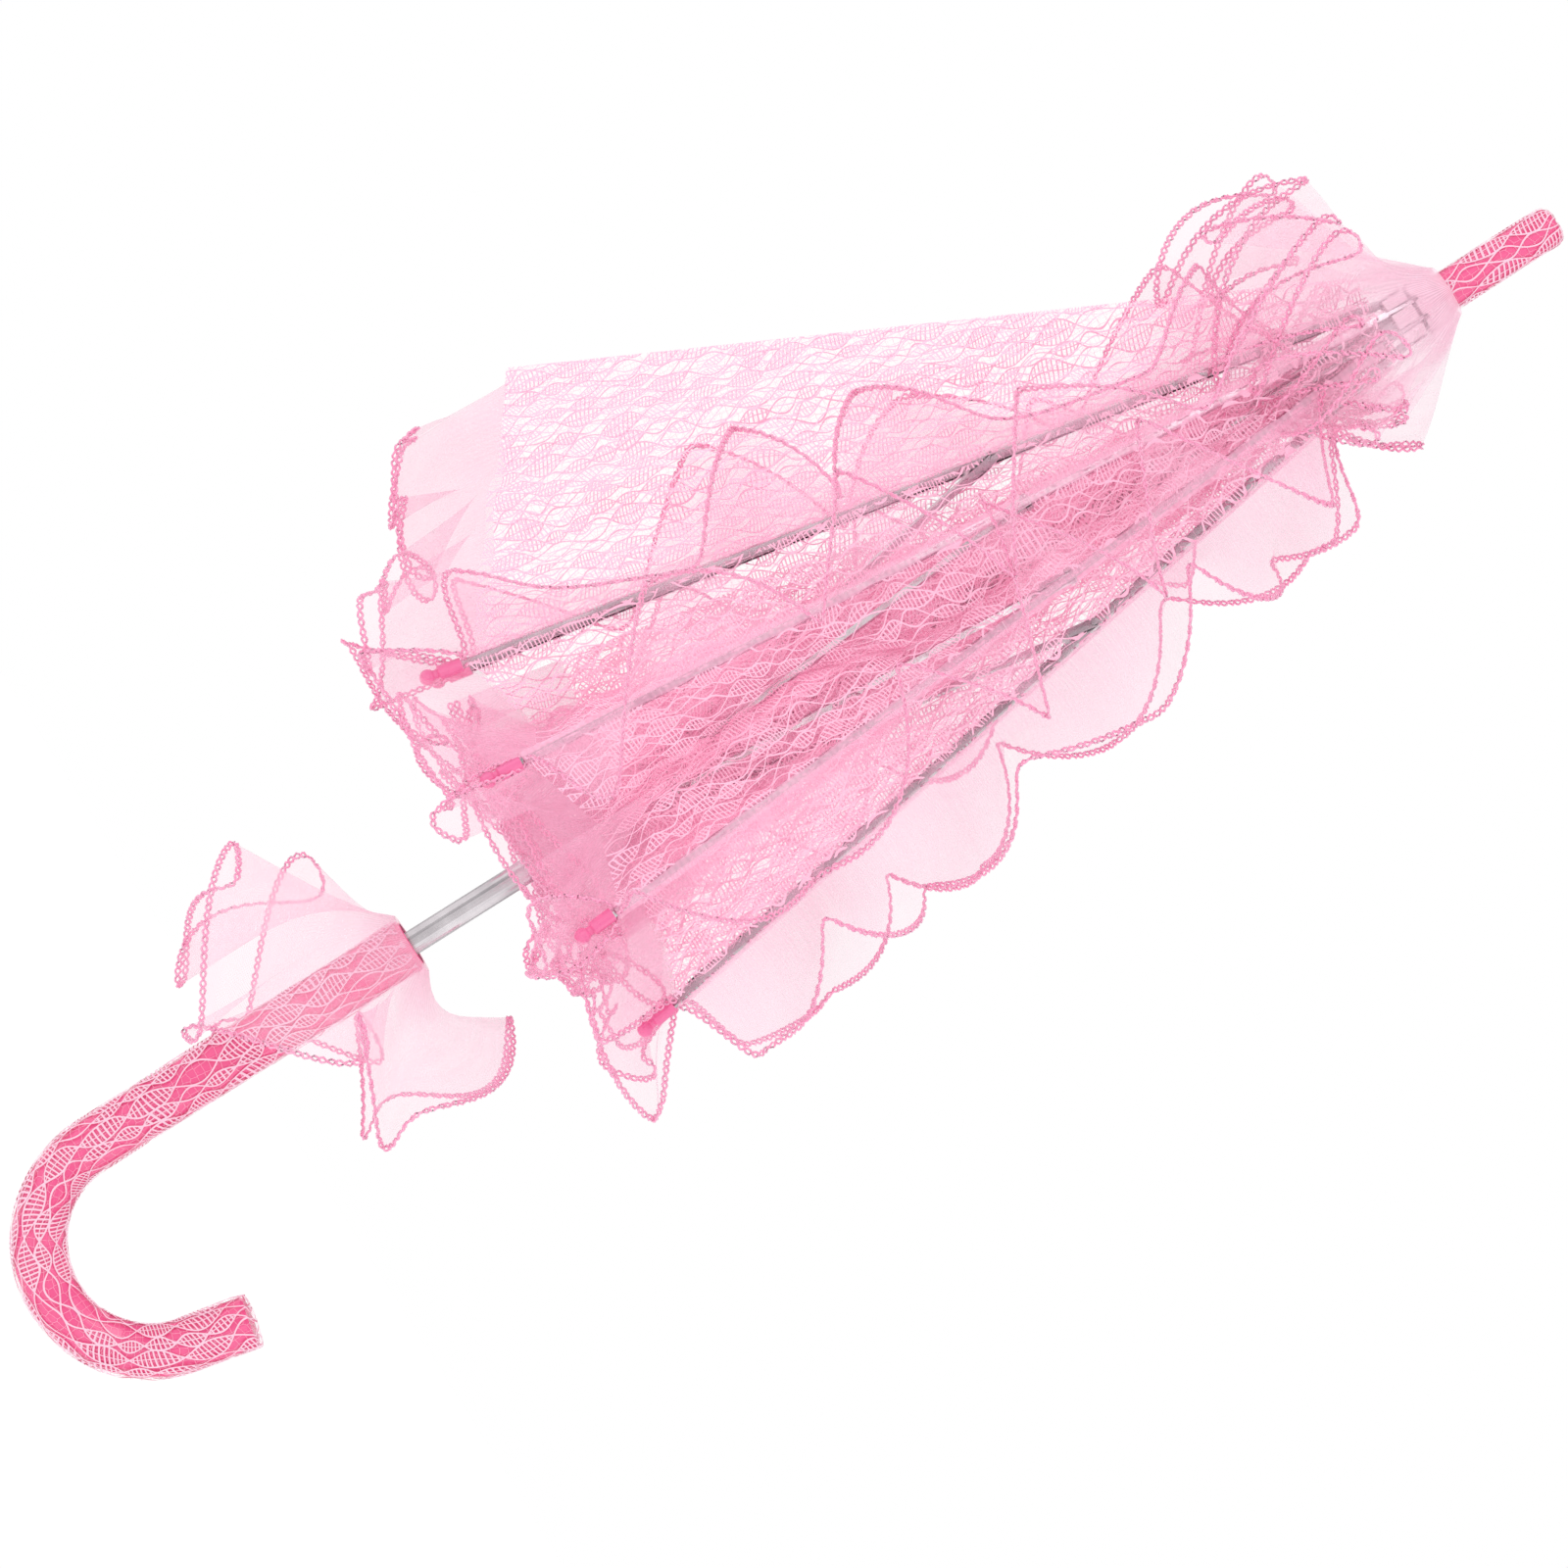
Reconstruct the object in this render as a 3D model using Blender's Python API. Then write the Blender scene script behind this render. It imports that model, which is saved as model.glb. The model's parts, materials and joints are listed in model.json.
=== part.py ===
"""Lace parasol with a hook handle, loosely folded, in metres.

The origin is where a hand holds the handle, +Z runs up the shaft to the tip, and the hook curves
towards +X. Eight ribs hang from the notch at the top, and eight stretchers tie them to the runner
that slides on the shaft. Ribs and gores are numbered anticlockwise seen from the tip, rib 1 at
22.5 degrees. Gore N hangs between rib N and the next rib, and each gore is cut in two along its
fold, so its left half swings on rib N and its right half on the next rib. The fold is the middle
of every gore but the outward one, whose pleat leans over and is the wider on its right.
"""

import math

import bmesh
import bpy
from mathutils import Matrix, Vector

# Driving dimensions
RIBS = 8
SHAFT_R = 0.0040
SHAFT_BORE_R = 0.0034
SHAFT_BOTTOM_Z = 0.0205
SHAFT_TOP_Z = 0.4690
FIT_GAP = 0.0003
HUB_SEGMENTS = 32

HANDLE_R = 0.0085
HANDLE_TOP_Z = 0.0600
HOOK_START_Z = -0.0590
HOOK_R = 0.0350
HOOK_TURN = math.radians(168)
HOOK_TAIL = 0.0210
HANDLE_ROUNDING = 0.0010
SLEEVE_GAP = 0.0003
SLEEVE_WALL = 0.0005

TIP_R = 0.0063
TIP_BOTTOM_Z = 0.4415
TIP_TOP_Z = 0.4840
TIP_LACE_BOTTOM_Z = 0.4470

HINGE_R = 0.0065
HINGE_Z = 0.4320
NOTCH_BOTTOM_Z = 0.4240
NOTCH_TOP_Z = 0.4400
NOTCH_R = 0.0090
NOTCH_SLOT_HALF = 0.0010
NOTCH_SLOT_TOP_Z = 0.4341
RING_WIRE_R = 0.00035
GROOVE_HALF = 0.0007

RIB_LENGTH = 0.3240
RIB_HALF_WIDTH = 0.0010
RIB_HALF_HEIGHT = 0.0012
RIB_WALL = 0.00045
TAB_LENGTH = 0.0105
TAB_HALF_WIDTH = 0.0006
TAB_R = 0.0012
TAB_HOLE_R = 0.0007
BAR_START = 0.0095
RIVET_AT = 0.1400
RIVET_R = 0.0006
RIVET_HEAD_R = 0.0012
REST_SPLAY = [math.radians(a) for a in (10.5, 11.0, 12.0, 11.5, 11.5, 12.0, 11.0, 10.5)]

BALL_R = 0.0026
BALL_AT = 0.3288
SOCKET_R = 0.0023
SOCKET_BORE_R = 0.0019
SOCKET_START = 0.3175
SOCKET_END = 0.3250
NECK_R = 0.0015

STRETCHER_LENGTH = 0.1450
FORK_LENGTH = 0.0100
FORK_INNER = 0.0013
FORK_OUTER = 0.0019
FORK_BAR_START = 0.0080
STRETCHER_HALF_WIDTH = 0.0010
STRETCHER_HALF_HEIGHT = 0.0009
STRETCHER_FOOT_R = 0.0011
FOOT_RADIUS = 0.0087

RUNNER_CROWN_Z = 0.1517
CROWN_R = 0.0110
CROWN_HALF = 0.0030
CROWN_SLOT_HALF = 0.0016
CROWN_WIRE_R = 0.00695
RUNNER_BOTTOM_Z = 0.1260
RUNNER_TOP_Z = 0.1590
RUNNER_SLEEVE_R = 0.0063
RUNNER_BORE_R = 0.00435
KEYWAY_R = 0.0055
KEYWAY_HALF = 0.0009

CATCH_PIVOT_Z = 0.2480
CATCH_TOP_Z = 0.2670
CATCH_REACH = 0.0052
CATCH_HALF = 0.0006
CATCH_WINDOW = (0.2545, 0.2690)

CLOTH = 0.0008
GORE_START = 0.1000
GORE_END = 0.3160
FOLDED_IN = math.radians(177)
FOLDED_OUT = {"left": math.radians(-2), "right": math.radians(66)}
OUT_SHARE = {"left": 0.308, "right": 0.406}
IN_SHARE = 0.135
CLEAR_OF_RIB = 0.0026
INNER_EDGE = 0.0050
OUT_GORE = 4
OUT_START = 0.0450
OUT_END = 0.3120
OUT_FOLD_END = 0.2860
OUT_INNER_EDGE = 0.0060
PUSHED_ASIDE = math.radians(26)

RUFFLE_START = 0.0800
RUFFLE_END = 0.3165
RUFFLE_FOOT = 0.0017
RUFFLE_TOP = 0.0210


def material(name, colour, roughness, metallic=0.0, alpha=1.0):
    m = bpy.data.materials.new(name)
    m.use_nodes = True
    shader = m.node_tree.nodes["Principled BSDF"]
    shader.inputs["Base Color"].default_value = (*colour, 1)
    shader.inputs["Roughness"].default_value = roughness
    shader.inputs["Metallic"].default_value = metallic
    shader.inputs["Alpha"].default_value = alpha
    return m


def clear_scene():
    for o in list(bpy.data.objects):
        bpy.data.objects.remove(o, do_unlink=True)


def mesh_from(bm, name):
    """Turns a bmesh into a mesh with its faces pointing out."""
    bmesh.ops.remove_doubles(bm, verts=bm.verts, dist=1e-7)
    bmesh.ops.recalc_face_normals(bm, faces=bm.faces)
    mesh = bpy.data.meshes.new(name)
    bm.to_mesh(mesh)
    bm.free()
    mesh.shade_smooth()
    mesh.set_sharp_from_angle(angle=math.radians(35))
    return mesh


def place(name, mesh, look, matrix=None):
    o = bpy.data.objects.new(name, mesh)
    bpy.context.scene.collection.objects.link(o)
    if look and look.name not in mesh.materials:
        mesh.materials.append(look)
    o.matrix_world = matrix or Matrix()
    return o


def cutter(name, mesh, matrix=None):
    """A shape that only cuts or joins others: it isn't a part of the parasol."""
    o = place(name, mesh, None, matrix)
    o.hide_render = True
    o.display_type = "WIRE"
    return o


def boolean(target, tool, operation="DIFFERENCE"):
    m = target.modifiers.new(operation.title(), "BOOLEAN")
    m.object = tool
    m.operation = operation
    m.solver = "EXACT"


def turned(name, profile, segments=24, axis="Z"):
    """Spins a closed outline of (radius, height) points about the axis."""
    bm = bmesh.new()
    rings = []
    for radius, height in profile:
        if radius < 1e-6:
            rings.append([bm.verts.new((0, 0, height))])
            continue
        turns = (2 * math.pi * i / segments for i in range(segments))
        ring = [(radius * math.cos(t), radius * math.sin(t), height) for t in turns]
        rings.append([bm.verts.new(point) for point in ring])
    for one, two in zip(rings, rings[1:] + rings[:1]):
        for i in range(segments):
            j = (i + 1) % segments
            corners = [one[i % len(one)], one[j % len(one)], two[j % len(two)], two[i % len(two)]]
            unique = list(dict.fromkeys(corners))
            if len(unique) > 2:
                bm.faces.new(unique)
    if axis == "X":
        bmesh.ops.rotate(bm, verts=bm.verts, matrix=Matrix.Rotation(math.pi / 2, 3, "Y"))
    return mesh_from(bm, name)


def box(name, low, high):
    bm = bmesh.new()
    bmesh.ops.create_cube(bm, size=1)
    size = Vector(high) - Vector(low)
    bmesh.ops.scale(bm, vec=size, verts=bm.verts)
    bmesh.ops.translate(bm, vec=(Vector(high) + Vector(low)) / 2, verts=bm.verts)
    return mesh_from(bm, name)


def slab(name, outline, low, high, plane="XZ"):
    """Extrudes a flat outline: along Y from low to high, or along Z for an XY outline."""
    bm = bmesh.new()
    if plane == "XZ":
        verts = [bm.verts.new((a, low, b)) for a, b in outline]
        move = (0, high - low, 0)
    else:
        verts = [bm.verts.new((a, b, low)) for a, b in outline]
        move = (0, 0, high - low)
    face = bm.faces.new(verts)
    made = bmesh.ops.extrude_face_region(bm, geom=[face])["geom"]
    bmesh.ops.translate(bm, vec=move, verts=[v for v in made if isinstance(v, bmesh.types.BMVert)])
    return mesh_from(bm, name)


def arc(centre, radius, start, end, steps):
    """Points on an arc, its angles in degrees from the first axis of the outline."""
    cx, cy = centre
    angles = [math.radians(start + (end - start) * i / steps) for i in range(steps + 1)]
    return [(cx + radius * math.cos(a), cy + radius * math.sin(a)) for a in angles]


def radial(azimuth):
    return Vector((math.cos(azimuth), math.sin(azimuth), 0))


def rib_azimuth(number):
    return 2 * math.pi / RIBS * (number - 0.5)


def rib_frame(number):
    """X runs down the rib from its hinge, Y anticlockwise, and Z out of the canopy."""
    azimuth, splay = rib_azimuth(number), REST_SPLAY[(number - 1) % RIBS]
    out, up = radial(azimuth), Vector((0, 0, 1))
    along = math.sin(splay) * out - math.cos(splay) * up
    normal = math.cos(splay) * out + math.sin(splay) * up
    around = normal.cross(along)
    at = HINGE_R * out + HINGE_Z * up
    return Matrix.Translation(at) @ Matrix((along, around, normal)).transposed().to_4x4()


def stretcher_frame(number):
    """X runs from the rivet in the rib down to the runner."""
    rib = rib_frame(number)
    rivet = rib @ Vector((RIVET_AT, 0, 0))
    out, up = radial(rib_azimuth(number)), Vector((0, 0, 1))
    lean = -math.asin((rivet.dot(out) - FOOT_RADIUS) / STRETCHER_LENGTH)
    along = math.sin(lean) * out - math.cos(lean) * up
    normal = math.cos(lean) * out + math.sin(lean) * up
    turned_frame = Matrix((along, normal.cross(along), normal)).transposed()
    return Matrix.Translation(rivet) @ turned_frame.to_4x4()


def gore_frame(rib, side, swing):
    """X runs down the rib, and Y across the cloth, which swings from the rib's outward normal."""
    frame = rib_frame(rib)
    along, around, normal = (frame.to_3x3().col[i].copy() for i in range(3))
    across = math.cos(swing) * normal + side * math.sin(swing) * around
    turned_frame = Matrix((along, across, along.cross(across))).transposed()
    return Matrix.Translation(frame.translation) @ turned_frame.to_4x4()


def hook_path():
    """Points down the handle's centreline, each with the direction that it runs in."""
    down = Vector((0, 0, -1))
    path = [(Vector((0, 0, z)), down) for z in (HANDLE_TOP_Z, HANDLE_TOP_Z / 2, 0, HOOK_START_Z / 2)]
    steps = 14
    for i in range(steps + 1):
        turn = HOOK_TURN * i / steps
        centre = Vector((HOOK_R * (1 - math.cos(turn)), 0, HOOK_START_Z - HOOK_R * math.sin(turn)))
        path.append((centre, Vector((math.sin(turn), 0, -math.cos(turn)))))
    last, heading = path[-1]
    return path + [(last + HOOK_TAIL / 2 * heading, heading), (last + HOOK_TAIL * heading, heading)]


def ring_on(bm, at, heading, radius, segments):
    across = Vector((0, 1, 0))
    other = across.cross(heading)
    turns = (2 * math.pi * i / segments for i in range(segments))
    return [bm.verts.new(at + radius * (math.cos(t) * across + math.sin(t) * other)) for t in turns]


def bridge(bm, one, two):
    for i in range(len(one)):
        j = (i + 1) % len(one)
        bm.faces.new((one[i], one[j], two[j], two[i]))


def swept(name, stations, segments=16):
    """Joins rings of (point, heading, radius) into a closed solid with flat ends."""
    bm = bmesh.new()
    rings = [ring_on(bm, at, heading, radius, segments) for at, heading, radius in stations]
    for one, two in zip(rings, rings[1:]):
        bridge(bm, one, two)
    bm.faces.new(rings[0])
    bm.faces.new(rings[-1])
    return mesh_from(bm, name)


def swept_sleeve(name, path, inner, outer, segments=16):
    """A tube wall along the path, open at both ends."""
    bm = bmesh.new()
    inside = [ring_on(bm, at, heading, inner, segments) for at, heading in path]
    outside = [ring_on(bm, at, heading, outer, segments) for at, heading in path]
    for rings in (inside, outside):
        for one, two in zip(rings, rings[1:]):
            bridge(bm, one, two)
    bridge(bm, inside[0], outside[0])
    bridge(bm, inside[-1], outside[-1])
    return mesh_from(bm, name)


def tube(name, inner, outer, low, high, segments=24):
    return turned(name, [(inner, low), (outer, low), (outer, high), (inner, high)], segments)


def wire_ring(name, radius, z):
    """A ring of round wire."""
    return turned(name, [(radius + r, z + h) for r, h in arc((0, 0), RING_WIRE_R, 0, 300, 5)], 24)


def build_shaft(look):
    shaft = place("shaft", tube("shaft", SHAFT_BORE_R, SHAFT_R, SHAFT_BOTTOM_Z, SHAFT_TOP_Z), look)
    low, high = CATCH_WINDOW
    window = box("catch_window", (0.001, -KEYWAY_HALF, low), (2 * SHAFT_R, KEYWAY_HALF, high))
    boolean(shaft, cutter("catch_window", window))


def build_handle(look, lace_look):
    path = hook_path()
    inset = HANDLE_R - HANDLE_ROUNDING
    first, last = path[0], path[-1]
    rounded = first[0] + HANDLE_ROUNDING * first[1]
    stations = [(first[0], first[1], inset), (rounded, first[1], HANDLE_R)]
    stations += [(at, heading, HANDLE_R) for at, heading in path[1:-1]]
    stations += [(last[0] - HANDLE_ROUNDING * last[1], last[1], HANDLE_R), (last[0], last[1], inset)]
    handle = place("handle", swept("handle", stations), look)
    socket = tube("shaft_socket", 0, SHAFT_R + FIT_GAP, SHAFT_BOTTOM_Z - FIT_GAP, 2 * HANDLE_TOP_Z)
    boolean(handle, cutter("shaft_socket", socket))
    short = 0.0015
    cover = [(first[0] + 2 * short * first[1], first[1])] + path[1:-1]
    cover.append((last[0] - short * last[1], last[1]))
    inner = HANDLE_R + SLEEVE_GAP
    sleeve = swept_sleeve("handle_lace", cover, inner, inner + SLEEVE_WALL)
    place("handle_lace", sleeve, lace_look)


def build_handle_ruffle(look):
    """Gathered round the top of the handle, it spreads as a double skirt, up and down."""
    neck = HANDLE_R + SLEEVE_GAP + SLEEVE_WALL + 2 * FIT_GAP
    up = [(neck, 0.0560), (0.0200, 0.0690), (0.0230, 0.0880)]
    down = [(0.0360, 0.0620), (0.0440, 0.0440), (0.0400, 0.0080)]
    wall = 0.0008
    outline = up + [(r + wall, z + wall) for r, z in reversed(up[1:])]
    outline[-1] = (0.0215, 0.0672)
    outline += down + [(r - wall, z - wall) for r, z in reversed(down)]
    outline += [(0.0215, 0.0640), (neck, 0.0540)]
    place("handle_ruffle", turned("handle_ruffle", outline, 24), look)


def build_tip(look, lace_look):
    bore, rounding = SHAFT_R + FIT_GAP, 0.0030
    outline = [(bore, TIP_BOTTOM_Z), (TIP_R, TIP_BOTTOM_Z)]
    outline += arc((TIP_R - rounding, TIP_TOP_Z - rounding), rounding, 0, 90, 4)
    outline += [(0, TIP_TOP_Z), (0, SHAFT_TOP_Z + FIT_GAP), (bore, SHAFT_TOP_Z + FIT_GAP)]
    place("tip_cap", turned("tip_cap", outline), look)
    inner = TIP_R + SLEEVE_GAP
    sleeve = tube("tip_lace", inner, inner + SLEEVE_WALL, TIP_LACE_BOTTOM_Z, TIP_TOP_Z - 2 * rounding)
    place("tip_lace", sleeve, lace_look)


def slotted_wheel(name, outline, groove_r, wire_z, slots, look):
    """A turned hub with a groove for its wire ring and a slot for each rib or stretcher."""
    hub = place(name, turned(name, outline, HUB_SEGMENTS), look)
    outside = 2 * max(r for r, _ in outline)
    low, high = wire_z - GROOVE_HALF, wire_z + GROOVE_HALF
    groove = tube(f"{name}_groove", groove_r, outside, low, high, HUB_SEGMENTS)
    boolean(hub, cutter(f"{name}_groove", groove))
    inner, half, low, high = slots
    slot = box(f"{name}_slot", (inner, -half, low), (outside, half, high))
    for number in range(1, RIBS + 1):
        turn = Matrix.Rotation(rib_azimuth(number), 4, "Z")
        boolean(hub, cutter(f"{name}_slot_{number}", slot, turn))
    return hub


def build_notch(look, wire_look):
    bore = SHAFT_R + FIT_GAP
    outline = [(bore, NOTCH_BOTTOM_Z), (NOTCH_R, NOTCH_BOTTOM_Z), (NOTCH_R, NOTCH_TOP_Z - 0.001)]
    outline += [(NOTCH_R - 0.001, NOTCH_TOP_Z), (bore, NOTCH_TOP_Z)]
    slots = (HINGE_R - TAB_R - FIT_GAP, NOTCH_SLOT_HALF, NOTCH_BOTTOM_Z - 0.002, NOTCH_SLOT_TOP_Z)
    groove_r = HINGE_R - RING_WIRE_R - FIT_GAP
    slotted_wheel("top_notch", outline, groove_r, HINGE_Z, slots, look)
    place("notch_wire", wire_ring("notch_wire", HINGE_R, HINGE_Z), wire_look)


def build_runner(look, wire_look):
    low, high = RUNNER_CROWN_Z - CROWN_HALF, RUNNER_CROWN_Z + CROWN_HALF
    lip_r, lip = RUNNER_SLEEVE_R + 0.0014, 0.0022
    outline = [(RUNNER_BORE_R, RUNNER_BOTTOM_Z), (lip_r, RUNNER_BOTTOM_Z)]
    outline += [(lip_r, RUNNER_BOTTOM_Z + lip), (RUNNER_SLEEVE_R, RUNNER_BOTTOM_Z + 2 * lip)]
    outline += [(RUNNER_SLEEVE_R, low), (CROWN_R, low), (CROWN_R, high), (RUNNER_SLEEVE_R, high)]
    outline += [(RUNNER_SLEEVE_R, RUNNER_TOP_Z), (RUNNER_BORE_R, RUNNER_TOP_Z)]
    slots = (RUNNER_SLEEVE_R + FIT_GAP, CROWN_SLOT_HALF, low - 0.001, high + 0.001)
    groove_r = CROWN_WIRE_R - RING_WIRE_R - FIT_GAP
    runner = slotted_wheel("runner", outline, groove_r, RUNNER_CROWN_Z, slots, look)
    keyway = box(
        "keyway",
        (0, -KEYWAY_HALF, RUNNER_BOTTOM_Z - 0.001),
        (KEYWAY_R, KEYWAY_HALF, RUNNER_TOP_Z + 0.001),
    )
    boolean(runner, cutter("keyway", keyway))
    place("runner_wire", wire_ring("runner_wire", CROWN_WIRE_R, RUNNER_CROWN_Z), wire_look)


def build_catch(look):
    """A leaf inside the shaft, with a sloped tooth that stands out of the shaft's window."""
    top, foot = CATCH_TOP_Z, CATCH_PIVOT_Z - 0.0010
    sill = CATCH_WINDOW[0]
    outline = [(-0.0007, foot), (0.0007, foot), (0.0012, sill), (0.0030, sill + 0.0010)]
    outline += [(CATCH_REACH, top - 0.0010), (CATCH_REACH, top), (-0.0007, top)]
    place("top_catch", slab("top_catch", outline, -CATCH_HALF, CATCH_HALF), look)


def rib_mesh():
    """A fluted steel rib: a channel open towards the shaft, with its flat tab, eye and rivet."""
    w, h, wall = RIB_HALF_WIDTH, RIB_HALF_HEIGHT, RIB_WALL
    channel = [(-w, -h), (-w, h), (w, h), (w, -h), (w - wall, -h), (w - wall, h - wall)]
    channel += [(-w + wall, h - wall), (-w + wall, -h)]
    bm = bmesh.new()
    rings = [[bm.verts.new((x, y, z)) for y, z in channel] for x in (BAR_START, RIB_LENGTH)]
    bridge(bm, *rings)
    for ring in rings:
        bm.faces.new(ring)
    return mesh_from(bm, "rib")


def rib_tools():
    """The tab and the rivet that are one piece with each rib, and the eye through the tab."""
    tail = TAB_LENGTH + 0.004
    plate = arc((0, 0), TAB_R, 90, 270, 8) + [(tail, -TAB_R + 0.0002), (tail, TAB_R)]
    tab = slab("rib_tab", plate, -TAB_HALF_WIDTH, TAB_HALF_WIDTH)
    half, head = FORK_OUTER + FIT_GAP, 0.0004
    outline = [(0, -half - head), (RIVET_HEAD_R, -half - head), (RIVET_HEAD_R, -half), (RIVET_R, -half)]
    outline += [(r, -z) for r, z in reversed(outline)]
    rivet = turned("rib_rivet", outline, 12)
    eye = turned("rib_eye", [(0, -0.003), (TAB_HOLE_R, -0.003), (TAB_HOLE_R, 0.003), (0, 0.003)], 16)
    return tab, rivet, eye


def build_ribs(look, tip_look):
    bar, (tab, rivet, eye) = rib_mesh(), rib_tools()
    pin_turn = Matrix.Rotation(math.pi / 2, 4, "X")
    tips = tip_mesh()
    for number in range(1, RIBS + 1):
        frame = rib_frame(number)
        rib = place(f"rib_{number}", bar, look, frame)
        boolean(rib, cutter(f"rib_tab_{number}", tab, frame), "UNION")
        at_rivet = frame @ Matrix.Translation((RIVET_AT, 0, 0)) @ pin_turn
        boolean(rib, cutter(f"rib_rivet_{number}", rivet, at_rivet), "UNION")
        boolean(rib, cutter(f"rib_eye_{number}", eye, frame @ pin_turn))
        place(f"rib_tip_{number}", tips, tip_look, frame)


def tip_mesh():
    """A ball on a short neck, with a socket that is pressed over the end of the rib."""
    start = math.degrees(math.asin(NECK_R / BALL_R))
    outline = [(SOCKET_BORE_R, SOCKET_START), (SOCKET_R, SOCKET_START), (SOCKET_R, SOCKET_END)]
    ball = arc((BALL_AT, 0), BALL_R, 180 - start, 0, 7)
    outline += [(NECK_R, SOCKET_END + 0.0005)] + [(max(r, 0), a) for a, r in ball]
    outline += [(0, RIB_LENGTH + FIT_GAP), (SOCKET_BORE_R, RIB_LENGTH + FIT_GAP)]
    return turned("rib_tip", outline, 14, axis="X")


def stretcher_mesh():
    """A bar with a foot at the runner, and a fork that straddles the rib at the rivet."""
    w, h = STRETCHER_HALF_WIDTH, STRETCHER_HALF_HEIGHT
    foot = arc((STRETCHER_LENGTH, 0), STRETCHER_FOOT_R, -90, 90, 8)
    outline = [(FORK_BAR_START, -h)] + [(STRETCHER_LENGTH - 0.004, -h)] + foot
    outline += [(STRETCHER_LENGTH - 0.004, h), (FORK_BAR_START, h)]
    return slab("stretcher", outline, -w, w)


def build_stretchers(look):
    bar = stretcher_mesh()
    cheek_r = RIB_HALF_HEIGHT + 0.0003
    outline = arc((0, 0), cheek_r, 90, 270, 8) + [(FORK_LENGTH, -cheek_r), (FORK_LENGTH, cheek_r)]
    fork = slab("fork", outline, -FORK_OUTER, FORK_OUTER)
    gap = box("fork_gap", (-0.004, -FORK_INNER, -0.004), (FORK_BAR_START, FORK_INNER, 0.004))
    hole_r = RIVET_R + FIT_GAP
    hole = turned("fork_hole", [(0, -0.004), (hole_r, -0.004), (hole_r, 0.004), (0, 0.004)], 12)
    pin_turn = Matrix.Rotation(math.pi / 2, 4, "X")
    for number in range(1, RIBS + 1):
        frame = stretcher_frame(number)
        stretcher = place(f"stretcher_{number}", bar, look, frame)
        boolean(stretcher, cutter(f"fork_{number}", fork, frame), "UNION")
        boolean(stretcher, cutter(f"fork_gap_{number}", gap, frame))
        boolean(stretcher, cutter(f"fork_hole_{number}", hole, frame @ pin_turn))


def cloth(name, outline, offset):
    return slab(name, outline, offset - CLOTH / 2, offset + CLOTH / 2, plane="XY")


def pleat_outline(share):
    """The side of the gore that is folded out: share is its width over the distance down the rib."""
    fold = Vector((1, share)).normalized()
    hem_middle = (0.96 * OUT_END, 0.5 * share * OUT_FOLD_END)
    outline = [(OUT_START, OUT_INNER_EDGE), (OUT_END, OUT_INNER_EDGE), hem_middle]
    return outline + [tuple(OUT_FOLD_END * fold), (OUT_START, share * OUT_START)]


def build_gores(look):
    """Each half gore is a flat leaf of cloth along its rib: one gore is folded out, the others in."""
    tucked = [(GORE_START, INNER_EDGE), (GORE_END, INNER_EDGE), (GORE_END, IN_SHARE * GORE_END)]
    tucked += [(GORE_START, IN_SHARE * GORE_START + 0.0005)]
    for gore in range(1, RIBS + 1):
        for half, rib, side in (("left", gore, 1), ("right", gore % RIBS + 1, -1)):
            name = f"gore_{gore}_{half}"
            if gore == OUT_GORE:
                mesh, swing = cloth(name, pleat_outline(OUT_SHARE[half]), 0), FOLDED_OUT[half]
            else:
                mesh, swing = cloth(name, tucked, side * CLEAR_OF_RIB), FOLDED_IN
            place(name, mesh, look, gore_frame(rib, side, swing))


def build_rib_ruffles(look):
    outline = [(RUFFLE_START, RUFFLE_FOOT), (RUFFLE_END, RUFFLE_FOOT), (RUFFLE_END, RUFFLE_TOP)]
    outline += [(RUFFLE_START + 0.0060, RUFFLE_TOP)]
    fin = slab("rib_ruffle", outline, -CLOTH / 2, CLOTH / 2)
    for number in range(1, RIBS + 1):
        lean = Matrix.Rotation(PUSHED_ASIDE if number == OUT_GORE else 0, 4, "X")
        place(f"rib_ruffle_{number}", fin, look, rib_frame(number) @ lean)


def build_crown_ruffle(look):
    """A bell of gathered cloth over the notch and the inner ends of the ribs."""
    top = [(0.0073, 0.0103), (0.0200, 0.0100), (0.0350, 0.0020), (0.0430, -0.0180), (0.0450, -0.0520)]
    wall = 0.0008
    outline = [(r, HINGE_Z + z) for r, z in top]
    outline += [(r - wall, HINGE_Z + z - wall) for r, z in reversed(top[1:])]
    outline.append((0.0073, HINGE_Z + 0.0095))
    place("crown_ruffle", turned("crown_ruffle", outline, 24), look)


def build():
    clear_scene()
    plastic = material("pink_plastic", (0.93, 0.13, 0.32), 0.25)
    steel = material("steel", (0.80, 0.78, 0.80), 0.22, metallic=1.0)
    nylon = material("white_nylon", (0.90, 0.72, 0.80), 0.40)
    lace = material("lace", (0.96, 0.55, 0.71), 0.80, alpha=0.6)
    organza = material("organza", (0.96, 0.66, 0.78), 0.50, alpha=0.4)
    ball = material("ball_plastic", (0.93, 0.30, 0.52), 0.35)
    build_shaft(steel)
    build_handle(plastic, lace)
    build_handle_ruffle(organza)
    build_tip(plastic, lace)
    build_notch(nylon, steel)
    build_runner(nylon, steel)
    build_catch(steel)
    build_ribs(steel, ball)
    build_stretchers(steel)
    build_gores(lace)
    build_rib_ruffles(organza)
    build_crown_ruffle(organza)


build()
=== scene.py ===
import json
import math
import random

import bpy
import numpy as np
from mathutils import Matrix, Vector


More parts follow.
